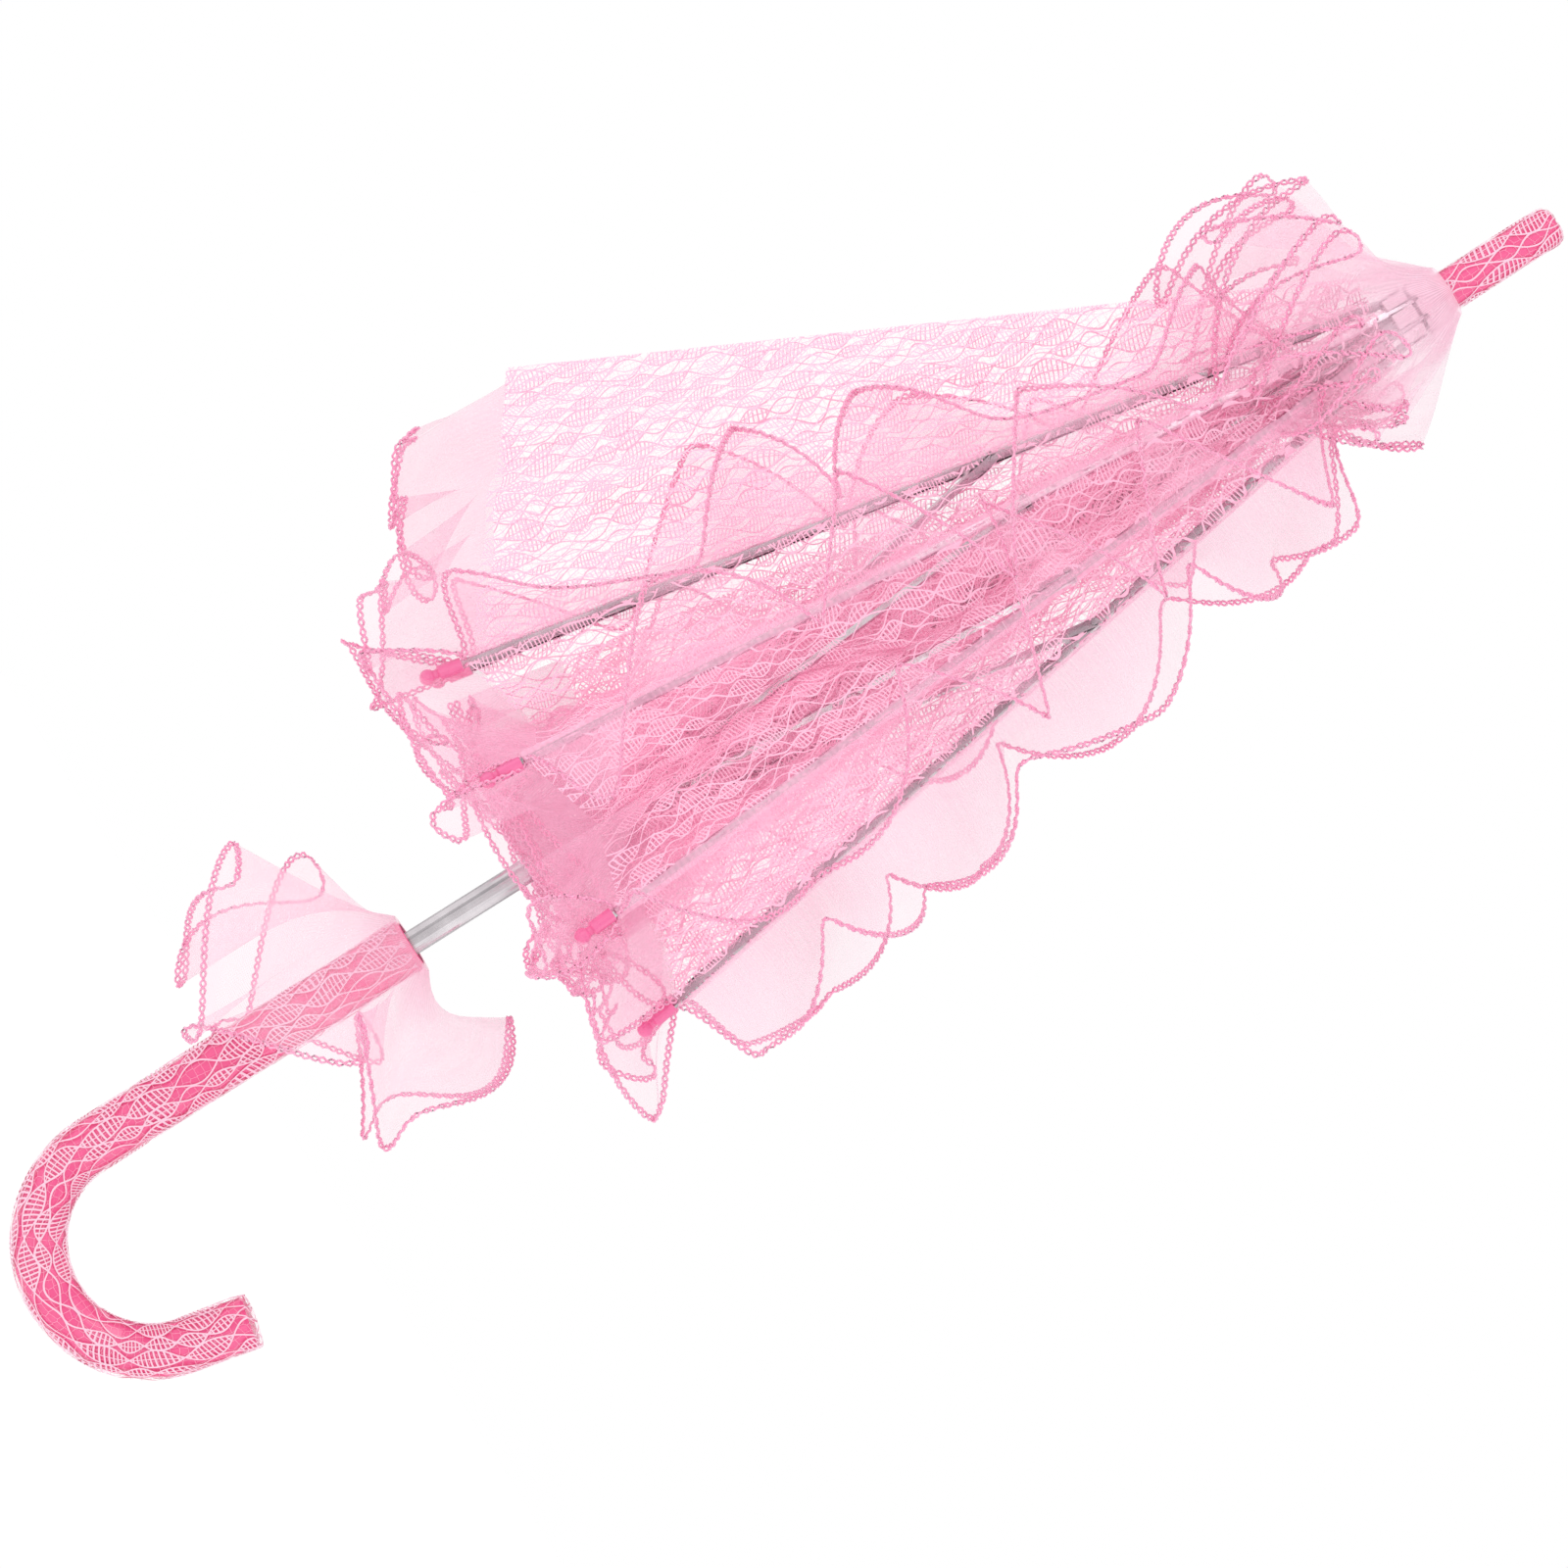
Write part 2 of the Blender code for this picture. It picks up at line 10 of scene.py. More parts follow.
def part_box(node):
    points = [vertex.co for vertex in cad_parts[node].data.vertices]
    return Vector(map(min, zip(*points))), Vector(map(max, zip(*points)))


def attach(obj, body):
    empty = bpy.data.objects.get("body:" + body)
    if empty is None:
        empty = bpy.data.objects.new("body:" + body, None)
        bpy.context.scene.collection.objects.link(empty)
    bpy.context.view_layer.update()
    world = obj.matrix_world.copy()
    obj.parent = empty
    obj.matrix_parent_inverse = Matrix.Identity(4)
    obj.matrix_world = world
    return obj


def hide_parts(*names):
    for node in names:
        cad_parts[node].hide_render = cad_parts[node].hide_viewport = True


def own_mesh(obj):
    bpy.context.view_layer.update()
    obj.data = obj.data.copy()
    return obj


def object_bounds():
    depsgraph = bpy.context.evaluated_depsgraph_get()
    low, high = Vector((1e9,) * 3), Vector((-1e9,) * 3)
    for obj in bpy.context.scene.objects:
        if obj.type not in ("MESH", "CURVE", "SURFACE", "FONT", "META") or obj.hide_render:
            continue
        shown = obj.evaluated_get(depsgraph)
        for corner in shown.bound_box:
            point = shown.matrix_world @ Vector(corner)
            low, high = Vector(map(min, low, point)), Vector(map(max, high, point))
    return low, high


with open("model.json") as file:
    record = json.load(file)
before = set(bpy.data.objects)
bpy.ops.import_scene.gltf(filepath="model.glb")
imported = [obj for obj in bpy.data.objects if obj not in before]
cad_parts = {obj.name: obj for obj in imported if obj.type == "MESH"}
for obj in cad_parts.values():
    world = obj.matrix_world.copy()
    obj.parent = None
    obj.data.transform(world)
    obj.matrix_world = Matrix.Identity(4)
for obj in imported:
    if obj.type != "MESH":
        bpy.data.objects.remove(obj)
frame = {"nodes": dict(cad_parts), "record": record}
cad_low, cad_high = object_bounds()

# Sizes in metres. Distances down a rib start at its hinge.
RIBS = 8
OPEN_SWING = math.radians(88)

# The pleat that stands out of the folded canopy, and its fold's angle off the gore's middle.
OUT_GORE = 4
OUT_LEAN = math.radians(2.5)

# The lace: its clearance round a rib, its top and its hem, and how far its halves overlap
# at the fold.
RIB_COVER = 0.0019
CLOTH_START = 0.012
HEM_AT_RIB = 0.3165
HEM_AT_FOLD = 0.2880
FOLD_OVERLAP = 0.0012

# The organza strips along the ribs and the hem, and the tape under each rib's strip.
RIB_RUFFLE_START = 0.040
RIB_RUFFLE_HEIGHT = 0.031
HEM_RUFFLE_HEIGHT = 0.038
OUT_HEM_SHARE = 0.7
SEAM_LIFT = 0.0024
TAPE_START = 0.016
TAPE_HALF = 0.0021

# How far a rib's or the hem's ruffle may stand beyond the folded CAD's box in X and Y.
PROUD = 0.005

# The gathered rings at the crown and the grip.
CROWN_HEIGHT = 0.078
CROWN_UNDER_HEIGHT = 0.066
HANDLE_RUFFLE_HEIGHT = 0.072

# The overlocked edges: a pair of threads that cross every half pitch.
CHAIN_PITCH = 0.0054
CHAIN_HALF_WIDTH = 0.00085
CHAIN_LIFT = 0.00030
CHAIN_STEP = 0.00054
STRAND_R = 0.00043


# ---------------------------------------------------------------- frame

def joint(name):
    return next(j for j in frame["record"]["behaviour"]["joints"] if j["name"] == name)


def unit(v):
    v = np.asarray(v, float)
    return v / np.linalg.norm(v)


def unit_rows(rows, least=0.0):
    """Each row as a unit vector. Least keeps a row of zeros from being divided by zero."""
    return rows / (np.linalg.norm(rows, axis=1)[:, None] + least)


def smooth(x):
    x = np.clip(x, 0.0, 1.0)
    return x * x * (3 - 2 * x)


class RibFrame:
    """A rib at rest: its hinge, and the directions along it, round the canopy and out of it."""

    def __init__(self, number):
        hinge, pivot = joint(f"rib_{number}_hinge"), joint(f"stretcher_{number}_pivot")
        self.number = number
        self.body = hinge["child"]
        self.at = np.array(hinge["pos_m"], float)
        self.along = unit(np.array(pivot["pos_m"], float) - self.at)
        self.around = -unit(hinge["axis"])
        self.normal = np.cross(self.along, self.around)
        self.open_splay = math.acos(-self.along[2]) + math.radians(hinge["range_deg"][1])

    def point(self, along, around=0.0, out=0.0):
        return self.at + along * self.along + around * self.around + out * self.normal


ribs = {n: RibFrame(n) for n in range(1, RIBS + 1)}
open_splay = ribs[1].open_splay
rib_turn = 2 * math.pi / RIBS
# The angle between neighbouring ribs of the open canopy, and how far the hinges are from its axis.
gap_cosine = math.sin(open_splay) ** 2 * math.cos(rib_turn) + math.cos(open_splay) ** 2
gap_angle = math.acos(gap_cosine)
hinge_radius = math.hypot(ribs[1].at[0], ribs[1].at[1])


class Leaf:
    """Half a gore at rest: a point is (distance down the rib, share of the way to the fold)."""

    def __init__(self, gore, half):
        self.gore = gore
        self.side = 1 if half == "left" else -1
        self.rib = ribs[gore if half == "left" else gore % RIBS + 1]
        fold = joint(f"gore_{gore}_{half}_fold")
        self.body, self.node = fold["child"], f"gore_{gore}_{half}"
        turn = math.radians(fold["range_deg"][1])
        self.folded_in = np.dot(fold["axis"], self.rib.along) * self.side > 0
        swing = OPEN_SWING + (turn if self.folded_in else -turn)
        sideways = self.side * math.sin(swing) * self.rib.around
        self.across = math.cos(swing) * self.rib.normal + sideways
        self.face = np.cross(self.rib.along, self.across)
        self.angle = gap_angle / 2 - (0 if self.folded_in else self.side * OUT_LEAN)
        middle = rib_turn * gore
        self.outward = np.array([math.cos(middle), math.sin(middle), 0.0])
        self.sideways = np.array([-math.sin(middle), math.cos(middle), 0.0])

    def flat(self, a, v):
        """The taut leaf: it starts over the rib's outer face and turns down past its flank."""
        across = self.width(a) * v - RIB_COVER * (1 - smooth(v / 0.025))
        p = self.rib.at + a[..., None] * self.rib.along + across[..., None] * self.across
        return p + self.side * (RIB_COVER * smooth(v / 0.02))[..., None] * self.face

    def width(self, a):
        """From the rib to the fold, with half of the gap that is between the ribs' hinges."""
        return math.tan(self.angle) * a + hinge_radius * math.tan(rib_turn / 2) + FOLD_OVERLAP

    def fold_point(self, length):
        a = np.array(length * math.cos(self.angle))
        return self.flat(a, np.array(1.0))

    def to_other_fold(self, a):
        """How far the fold moves along its leaf's normal to meet the other leaf's, which moves too."""
        other = Leaf(self.gore, "right" if self.side > 0 else "left")
        ends = []
        for length in (0.0, HEM_AT_FOLD):
            mine, theirs = self.fold_point(length), other.fold_point(length)
            down = unit(self.fold_point(HEM_AT_FOLD) - self.fold_point(0.0))
            ways = np.stack([self.face, -other.face, down], axis=1)
            ends.append(np.linalg.solve(ways, theirs - mine)[0])
        return ends[0] + (ends[1] - ends[0]) * a / (HEM_AT_FOLD * math.cos(self.angle))

    def to_middle(self, points):
        """How far each point is, along the leaf's normal, from the plane of the gore's fold."""
        return -(points @ self.sideways) / np.dot(self.face, self.sideways)

    def hem(self, v):
        fold_end = HEM_AT_FOLD * math.cos(self.angle)
        return HEM_AT_RIB + (fold_end - HEM_AT_RIB) * v ** 0.85

    def shape(self, a, v):
        """The draped cloth: the flat leaf moved along its normal by folds, puckers and waves."""
        p = self.flat(a, v)
        share = a / HEM_AT_RIB
        tone = wander(100 + self.gore)
        if self.folded_in:
            lift = self.to_middle(p) * smooth((v - 0.03) / 0.30)
            wave = 0.0085 * share * np.sin(7.5 * v + 5.0 * tone(share) + self.gore)
            wave += 0.0045 * share * np.sin(17.0 * v - 19.0 * share + 2.3 * self.gore)
            wave *= np.sin(math.pi * np.clip((v - 0.10) / 0.90, 0, 1)) ** 0.8
            depth = (p @ self.outward) / 0.014
            around_shaft = 0.010 * np.exp(-depth ** 2) * smooth((a - 0.04) / 0.06)
            around_shaft *= (-1) ** self.gore
            lift = lift + (wave + around_shaft) / np.dot(self.face, self.sideways)
        else:
            lift = self.to_other_fold(a) * smooth((v - 0.35) / 0.65)
            wave = 0.0040 * np.sin(9.0 * v + 8.0 * share) + 0.0030 * np.sin(21.0 * v - 6.0 * share)
            lift = lift + wave * share * np.sin(math.pi * v)
        pucker = 0.0016 * np.sin(430.0 * a + 3.0 * tone(share * 2))
        pucker = pucker * np.exp(-v / 0.16) * smooth(v / 0.05)
        crumple = 0.0009 * np.sin(260.0 * a + 31.0 * v) * smooth(v / 0.1) * smooth((1 - v) / 0.1)
        lift = lift + pucker + crumple
        return p + lift[..., None] * self.face


def wander(seed):
    """A smooth wandering function of one number, from -1 to 1, the same one for each seed."""
    rng = random.Random(seed)
    parts = [(rng.uniform(1.5, 6.0), rng.uniform(0, 2 * math.pi)) for _ in range(3)]
    return lambda x: sum(np.sin(f * np.asarray(x) * 2 + p) for f, p in parts) / 3


# ---------------------------------------------------------------- meshes

def mesh_object(name, verts, faces, uvs=None, look=None):
    mesh = bpy.data.meshes.new(name)
    mesh.from_pydata([tuple(map(float, v)) for v in verts], [], faces)
    if uvs is not None:
        layer = mesh.uv_layers.new(name="UVMap")
        index = np.empty(len(mesh.loops), np.int32)
        mesh.loops.foreach_get("vertex_index", index)
        layer.data.foreach_set("uv", np.asarray(uvs, np.float32)[index].ravel())
    mesh.shade_smooth()
    o = bpy.data.objects.new(name, mesh)
    bpy.context.scene.collection.objects.link(o)
    if look:
        mesh.materials.append(look)
    return o


def grid_faces(rows, columns, closed=False):
    faces = []
    for start in range(0, (rows - 1) * columns, columns):
        for j in range(columns if closed else columns - 1):
            k = (j + 1) % columns
            faces.append((start + j, start + k, start + columns + k, start + columns + j))
    return faces


def grid(name, points, uvs, look, closed=False):
    """A sheet from rows of points; a closed one joins each row's end to its start."""
    rows, columns = points.shape[:2]
    flat = points.reshape(-1, 3)
    return mesh_object(name, flat, grid_faces(rows, columns, closed), uvs.reshape(-1, 2), look)


def resample(points, step, closed=False):
    """Even distances along a line of points, and the distance that each of its points is at."""
    if closed:
        points = np.vstack([points, points[:1]])
    gaps = np.linalg.norm(np.diff(points, axis=0), axis=1)
    at = np.concatenate([[0], np.cumsum(gaps)])
    count = max(4, int(round(at[-1] / step)))
    where = np.linspace(0, at[-1], count + 1)
    return where, at


def follow(points, where, at, closed=False):
    """The line's points at the distances where, its own points being at the distances at."""
    if closed:
        points = np.vstack([points, points[:1]])
    return np.stack([np.interp(where, at, points[:, k]) for k in range(3)], axis=1)


def tube(centres, radius, sides):
    """The corner points and faces of a round thread along a line of points, with its ends shut."""
    ahead = unit_rows(np.gradient(centres, axis=0), 1e-12)
    side = unit_rows(np.cross(ahead, [0.31, 0.17, 0.93]), 1e-12)
    other = np.cross(ahead, side)
    turns = [2 * math.pi * i / sides for i in range(sides)]
    corners = [centres + radius * (math.cos(t) * side + math.sin(t) * other) for t in turns]
    rings = np.stack(corners, axis=1)
    count = len(centres)
    faces = grid_faces(count, sides, closed=True)
    faces.append(tuple(range(sides))[::-1])
    faces.append(tuple((count - 1) * sides + j for j in range(sides)))
    return rings.reshape(-1, 3), faces


def chain(name, edge, inner, look, closed=False):
    """Overlocking along an edge: two threads that cross over each other, flat along the cloth."""
    where, at = resample(edge, CHAIN_STEP, closed)
    line, back = follow(edge, where, at, closed), follow(inner, where, at, closed)
    ahead = unit_rows(np.gradient(line, axis=0), 1e-12)
    out = line - back
    out = unit_rows(out - (out * ahead).sum(axis=1)[:, None] * ahead, 1e-9)
    lift = np.cross(ahead, out)
    turns = max(1, round(at[-1] / CHAIN_PITCH))
    phase = 2 * math.pi * turns * where / at[-1]
    verts, faces = np.empty((0, 3)), []
    for strand in (0, 1):
        angle = phase + math.pi * strand
        centre = line + (CHAIN_HALF_WIDTH * np.sin(angle))[:, None] * out
        centre = centre + (CHAIN_LIFT * np.sin(2 * angle + math.pi * strand))[:, None] * lift
        ring, made = tube(centre, STRAND_R, 3)
        faces += [tuple(i + len(verts) for i in f) for f in made]
        verts = np.vstack([verts, ring])
    return mesh_object(name, verts, faces, None, look)


def packed(points):
    """Presses in, sideways, what would stand far outside the folded parasol."""
    points = points.copy()
    for axis in (0, 1):
        low, high = cad_low[axis], cad_high[axis]
        p = points[..., axis]
        p = np.where(p > high, high + PROUD * np.tanh((p - high) / PROUD), p)
        points[..., axis] = np.where(p < low, low - PROUD * np.tanh((low - p) / PROUD), p)
    return points


def ruffle_points(seam, out, side, height, waves, swing, curl, seed, rows, ends, droop):
    """A gathered strip: its seam lies still, and its free edge snakes from side to side.

    It tapers to nothing over the shares of its length in ends, and a second end of 0 stays tall.
    Droop is where its free edge is carried to, on top of its height and its waves."""
    count = len(seam)
    u = np.linspace(0, 1, count)
    ahead = unit_rows(np.gradient(seam, axis=0), 1e-12)
    tone, loud = wander(seed), wander(seed + 77)
    phase = 2 * math.pi * (waves * u + 0.35 * tone(u)) + seed
    swing = swing * (1 + 0.35 * loud(u))
    cover = smooth(u / ends[0])
    if ends[1]:
        cover = cover * smooth((1 - u) / ends[1])
    else:
        phase = phase - phase[-1]
    tall = height * cover * (1 + 0.12 * tone(2 * u + 1))
    snake, eight = np.sin(phase), np.sin(2 * phase)
    points = []
    for t in np.linspace(0, 1, rows):
        p = seam + (tall * t * (1 - 0.28 * snake ** 2 * t))[:, None] * out
        p = p + (swing * cover * t ** 1.3 * snake)[:, None] * side
        p = p + (curl * cover * t ** 1.5 * eight)[:, None] * ahead
        p = p + (t ** 2 * cover)[:, None] * droop
        points.append(p)
    return packed(np.array(points))


def uv_rows(points, offset):
    """Texture places in metres of flat cloth, along the gathered strip and across it."""
    edge = np.linalg.norm(np.diff(points[-1], axis=0), axis=1)
    along = np.concatenate([[0], np.cumsum(edge)])
    across = np.linalg.norm(points - points[0], axis=2).mean(axis=1)
    u = np.broadcast_to(along, points.shape[:2]) + offset
    v = np.broadcast_to(across[:, None], points.shape[:2])
    return np.stack([u, v], axis=2)


# ---------------------------------------------------------------- materials

class Graph:
    """Short words for building a material's nodes."""

    def __init__(self, name):
        self.material = bpy.data.materials.new(name)
        self.material.use_nodes = True
        self.nodes, self.links = self.material.node_tree.nodes, self.material.node_tree.links
        self.shader = self.nodes["Principled BSDF"]

    def put(self, socket, value):
        if isinstance(value, bpy.types.NodeSocket):
            self.links.new(value, socket)
        elif value is not None:
            socket.default_value = value

    def node(self, kind, inputs=None, **settings):
        n = self.nodes.new(kind)
        for key, value in settings.items():
            setattr(n, key, value)
        for key, value in (inputs or {}).items():
            self.put(n.inputs[key], value)
        return n

    def math(self, operation, a, b=None, c=None):
        n = self.node("ShaderNodeMath", operation=operation)
        for socket, value in zip(n.inputs, (a, b, c)):
            self.put(socket, value)
        return n.outputs[0]

    def vector(self, operation, a, b=None):
        n = self.node("ShaderNodeVectorMath", operation=operation)
        self.put(n.inputs[0], a)
        self.put(n.inputs[1], b)
        return n.outputs[0]

    def blend(self, share, a, b):
        n = self.node("ShaderNodeMix", data_type="RGBA")
        self.put(n.inputs[0], share)
        self.put(n.inputs[6], (*a, 1) if isinstance(a, tuple) else a)
        self.put(n.inputs[7], (*b, 1) if isinstance(b, tuple) else b)
        return n.outputs[2]

    def between(self, value, low, high, to_low=0.0, to_high=1.0):
        n = self.node("ShaderNodeMapRange", {"Value": value}, clamp=True)
        limits = {"From Min": low, "From Max": high, "To Min": to_low, "To Max": to_high}
        for key, limit in limits.items():
            n.inputs[key].default_value = limit
        return n.outputs[0]

    def noise(self, where, scale, detail=2.0, rough=0.5):
        inputs = {"Vector": where, "Scale": scale, "Detail": detail, "Roughness": rough}
        return self.node("ShaderNodeTexNoise", inputs).outputs[0]

    def cell_edge(self, where, random_share):
        """How far a place is from the edge of its cell, in a net of cells about 1 wide."""
        inputs = {"Vector": where, "Scale": 1.0, "Randomness": random_share}
        kind = {"feature": "DISTANCE_TO_EDGE", "voronoi_dimensions": "2D"}
        return self.node("ShaderNodeTexVoronoi", inputs, **kind).outputs["Distance"]

    def chance(self, seed):
        """A number from 0 to 1 that is the same for each seed."""
        noise = self.node("ShaderNodeTexWhiteNoise", {"W": seed}, noise_dimensions="1D")
        return noise.outputs["Value"]

    def uv(self):
        return self.node("ShaderNodeUVMap", uv_map="UVMap").outputs[0]

    def place(self):
        return self.node("ShaderNodeTexCoord").outputs["Object"]

    def bump(self, height, strength, distance):
        inputs = {"Height": height, "Strength": strength, "Distance": distance}
        return self.node("ShaderNodeBump", inputs).outputs[0]

    def finish(self, **inputs):
        for key, value in inputs.items():
            key = key.replace("_", " ")
            if isinstance(value, tuple) and len(value) == 3:
                value = (*value, 1)
            self.put(self.shader.inputs[key], value)
        return self.material


def lace_threads(g, scale, weight):
    """Thread cover of the lace, 0 in a hole and 1 on a thread, and the cover without its net.

    Chains of leaves run along the cloth in bands, outlined by cords. Some leaves are filled with
    ladder stitches and a spine, and a net of small holes fills the rest. Sizes are in mm."""
    cord_half, spine_half, net_half = 0.34 * weight, 0.20 * weight, 0.023 * weight
    rungs_per_mm, rung_share, rung_slant = 1 / 1.30, 0.52 * weight, 0.25
    filled_share = 0.62
    mm = g.vector("SCALE", g.uv())
    mm.node.inputs["Scale"].default_value = 1000.0 / scale
    drift = g.node("ShaderNodeTexNoise", {"Vector": mm, "Scale": 0.045, "Detail": 1.0})
    drift = g.vector("SUBTRACT", drift.outputs["Color"], (0.5, 0.5, 0.5))
    sway = (9.0, 8.0, 0.0)
    bent = g.node("ShaderNodeVectorMath", {0: drift, 1: sway, 2: mm}, operation="MULTIPLY_ADD")
    split = g.node("ShaderNodeSeparateXYZ", {0: bent.outputs[0]})
    x, y = split.outputs[0], split.outputs[1]
    cover = None
    for pitch, half, length, shift in ((9.0, 2.7, 14.5, 0.0), (9.0, 1.8, 9.5, 4.7)):
        band = g.math("DIVIDE", g.math("ADD", y, shift), pitch)
        number = g.math("FLOOR", band)
        off = g.math("MULTIPLY", g.math("SUBTRACT", g.math("FRACT", band), 0.5), pitch)
        run = g.math("ADD", g.math("DIVIDE", x, length), g.chance(g.math("ADD", number, shift)))
        swell = g.math("ABSOLUTE", g.math("SINE", g.math("MULTIPLY", run, math.pi)))
        lens = g.math("MULTIPLY", swell, half)
        height = g.math("ABSOLUTE", off)
        to_outline = g.math("ABSOLUTE", g.math("SUBTRACT", height, lens))
        cord = g.math("LESS_THAN", to_outline, cord_half)
        leaf_seed = g.math("MULTIPLY_ADD", number, 17.3, g.math("FLOOR", run))
        filled = g.math("LESS_THAN", g.chance(leaf_seed), filled_share)
        inside = g.math("MULTIPLY", g.math("LESS_THAN", height, lens), filled)
        slant = g.math("MULTIPLY_ADD", off, rung_slant, x)
        in_rung = g.math("FRACT", g.math("MULTIPLY", slant, rungs_per_mm))
        rungs = g.math("LESS_THAN", in_rung, rung_share)
        spine = g.math("LESS_THAN", height, spine_half)
        work = g.math("MAXIMUM", cord, g.math("MULTIPLY", inside, g.math("MAXIMUM", rungs, spine)))
        cover = work if cover is None else g.math("MAXIMUM", cover, work)
    net_place = g.vector("MULTIPLY", bent.outputs[0], (1 / 2.5, 1 / 2.0, 1.0))
    net = g.math("LESS_THAN", g.cell_edge(net_place, 0.45), net_half)
    return g.math("MAXIMUM", cover, net), cover


def lace_material(name, scale, weight, glow, net_colour, close_colour):
    """Lace with real holes. Glow stands for the light that comes through the cloth around it."""
    g = Graph(name)
    cover, close = lace_threads(g, scale, weight)
    fuzz = g.noise(g.uv(), 2200.0 / scale, 1.0)
    tint = g.blend(close, net_colour, close_colour)
    tint = g.blend(g.between(fuzz, 0.35, 0.75, 0.0, 0.30), tint, (0.97, 0.70, 0.80))
    return g.finish(
        Base_Color=tint,
        Alpha=cover,
        Roughness=g.between(fuzz, 0.2, 0.8, 0.55, 0.8),
        Specular_IOR_Level=0.2,
        Emission_Color=(1.0, 0.46, 0.64),
        Emission_Strength=glow,
        Normal=g.bump(cover, 0.3, 0.0003),
    )


def organza_material(name, gathered, thin=0.16, thick=0.30, pale=0.0):
    """Sheer plain weave: a faint grid, cloudy patches, and painted glints, specks in patches painted
    whiter where it's crisp.

    One layer covers from thin to thick of what is behind it. It's denser towards the seam that
    it's gathered into, by the share gathered, and whiter by the share pale."""
    g = Graph(name)
    uv = g.uv()
    mm = g.vector("SCALE", uv)
    mm.node.inputs["Scale"].default_value = 1000.0
    split = g.node("ShaderNodeSeparateXYZ", {0: mm})
    warp = g.math("SINE", g.math("MULTIPLY", split.outputs[0], 2 * math.pi / 0.62))
    weft = g.math("SINE", g.math("MULTIPLY", split.outputs[1], 2 * math.pi / 0.62))
    weave = g.math("MULTIPLY", warp, weft)
    cloud = g.noise(mm, 0.09, 3.0, 0.6)
    grain = g.noise(mm, 1.3, 1.0)
    patch = g.between(g.noise(mm, 0.16, 2.0), 0.47, 0.66)
    # Painted glints: specks in patches, painted nearly white into the colour and denser into the
    # cover, stand for light caught by the weave.
    painted_glint = g.math("MULTIPLY", g.between(grain, 0.60, 0.72), patch)
    veil = g.math("MULTIPLY_ADD", weave, 0.05, g.between(cloud, 0.25, 0.75, thin, thick))
    pleats = g.math("SINE", g.math("MULTIPLY", split.outputs[0], 2 * math.pi / 2.3))
    bunch = g.between(split.outputs[1], 2.0, 30.0, gathered, 0.0)
    veil = g.math("MULTIPLY_ADD", bunch, g.math("MULTIPLY_ADD", pleats, 0.25, 0.75), veil)
    alpha = g.math("MULTIPLY_ADD", painted_glint, 0.30, veil)
    tint = g.blend(g.between(cloud, 0.3, 0.7), (0.95, 0.49, 0.67), (0.96, 0.58, 0.73))
    tint = g.blend(painted_glint, g.blend(pale, tint, (1.0, 0.86, 0.92)), (1.0, 0.88, 0.92))
    return g.finish(
        Base_Color=tint,
        Alpha=alpha,
        Roughness=g.between(grain, 0.2, 0.8, 0.35, 0.6),
        Sheen_Weight=0.1,
        Specular_IOR_Level=0.35,
        # Painted glow: a faint pink emission lifts the cloth where it lies in shade, standing for
        # light that passes through it.
        Emission_Color=(1.0, 0.56, 0.73),
        Emission_Strength=0.07,
        Normal=g.bump(weave, 0.25, 0.0001),
    )


def thread_material():
    """Thick soft overlocking thread, with its plies just showing."""
    g = Graph("overlock_thread")
    place = g.place()
    ply = g.noise(place, 1500.0, 1.0)
    slow = g.noise(place, 60.0, 2.0)
    tint = g.blend(g.between(slow, 0.3, 0.7), (0.95, 0.30, 0.52), (0.96, 0.40, 0.60))
    tint = g.blend(g.between(ply, 0.45, 0.7, 0.0, 0.6), tint, (0.97, 0.62, 0.75))
    return g.finish(
        Base_Color=tint,
        Roughness=g.between(ply, 0.2, 0.8, 0.4, 0.7),
        Sheen_Weight=0.3,
        # Painted glow: a pink emission lifts the thread where it lies in shade.
        Emission_Color=(1.0, 0.34, 0.58),
        Emission_Strength=0.10,
        Normal=g.bump(ply, 0.4, 0.0002),
    )


def steel_material(name, streak):
    """Bright plated steel: drawn lines run along the piece and blur the reflections a little."""
    g = Graph(name)
    place = g.place()
    lines = g.noise(g.vector("MULTIPLY", place, streak), 1.0, 3.0)
    marks = g.noise(place, 90.0, 3.0)
    tint = g.blend(g.between(marks, 0.35, 0.7), (0.74, 0.71, 0.73), (0.55, 0.52, 0.54))
    return g.finish(
        Base_Color=tint,
        Metallic=1.0,
        Roughness=g.between(lines, 0.25, 0.75, 0.10, 0.24),
        Normal=g.bump(lines, 0.12, 0.0001),
    )


def plastic_material(name, colour, deep, rough):
    """Moulded plastic with a faint orange-peel surface and slow changes of tone."""
    g = Graph(name)
    place = g.place()
    slow, peel = g.noise(place, 25.0, 2.0), g.noise(place, 900.0, 1.0)
    tint = g.blend(g.between(slow, 0.3, 0.7), colour, deep)
    return g.finish(
        Base_Color=tint,
        Roughness=g.between(peel, 0.3, 0.7, rough - 0.04, rough + 0.06),
        Coat_Weight=0.5,
        Coat_Roughness=0.12,
        Normal=g.bump(peel, 0.08, 0.0002),
    )


LACE = lace_material(
    "lace_net", scale=1.0, weight=0.62, glow=0.12,
    net_colour=(0.95, 0.49, 0.66), close_colour=(0.96, 0.57, 0.72),
)
SLEEVE_LACE = lace_material(
    "lace_sleeve", scale=1.15, weight=0.68, glow=0.0,
    net_colour=(0.96, 0.52, 0.67), close_colour=(0.96, 0.60, 0.74),
)
ORGANZA = organza_material("organza_weave", gathered=0.12)
GATHERED = organza_material("organza_gathered", gathered=0.60, thin=0.12, thick=0.24, pale=0.35)
HANDLE_ORGANZA = organza_material("organza_handle", gathered=0.40, thin=0.20, thick=0.38, pale=0.30)
TAPE = organza_material("organza_tape", gathered=0.20, thin=0.24, thick=0.36)
THREAD = thread_material()
STEEL_LONG = steel_material("steel_tube", streak=(900.0, 900.0, 6.0))
STEEL_WIRE = steel_material("steel_wire", streak=(400.0, 400.0, 40.0))
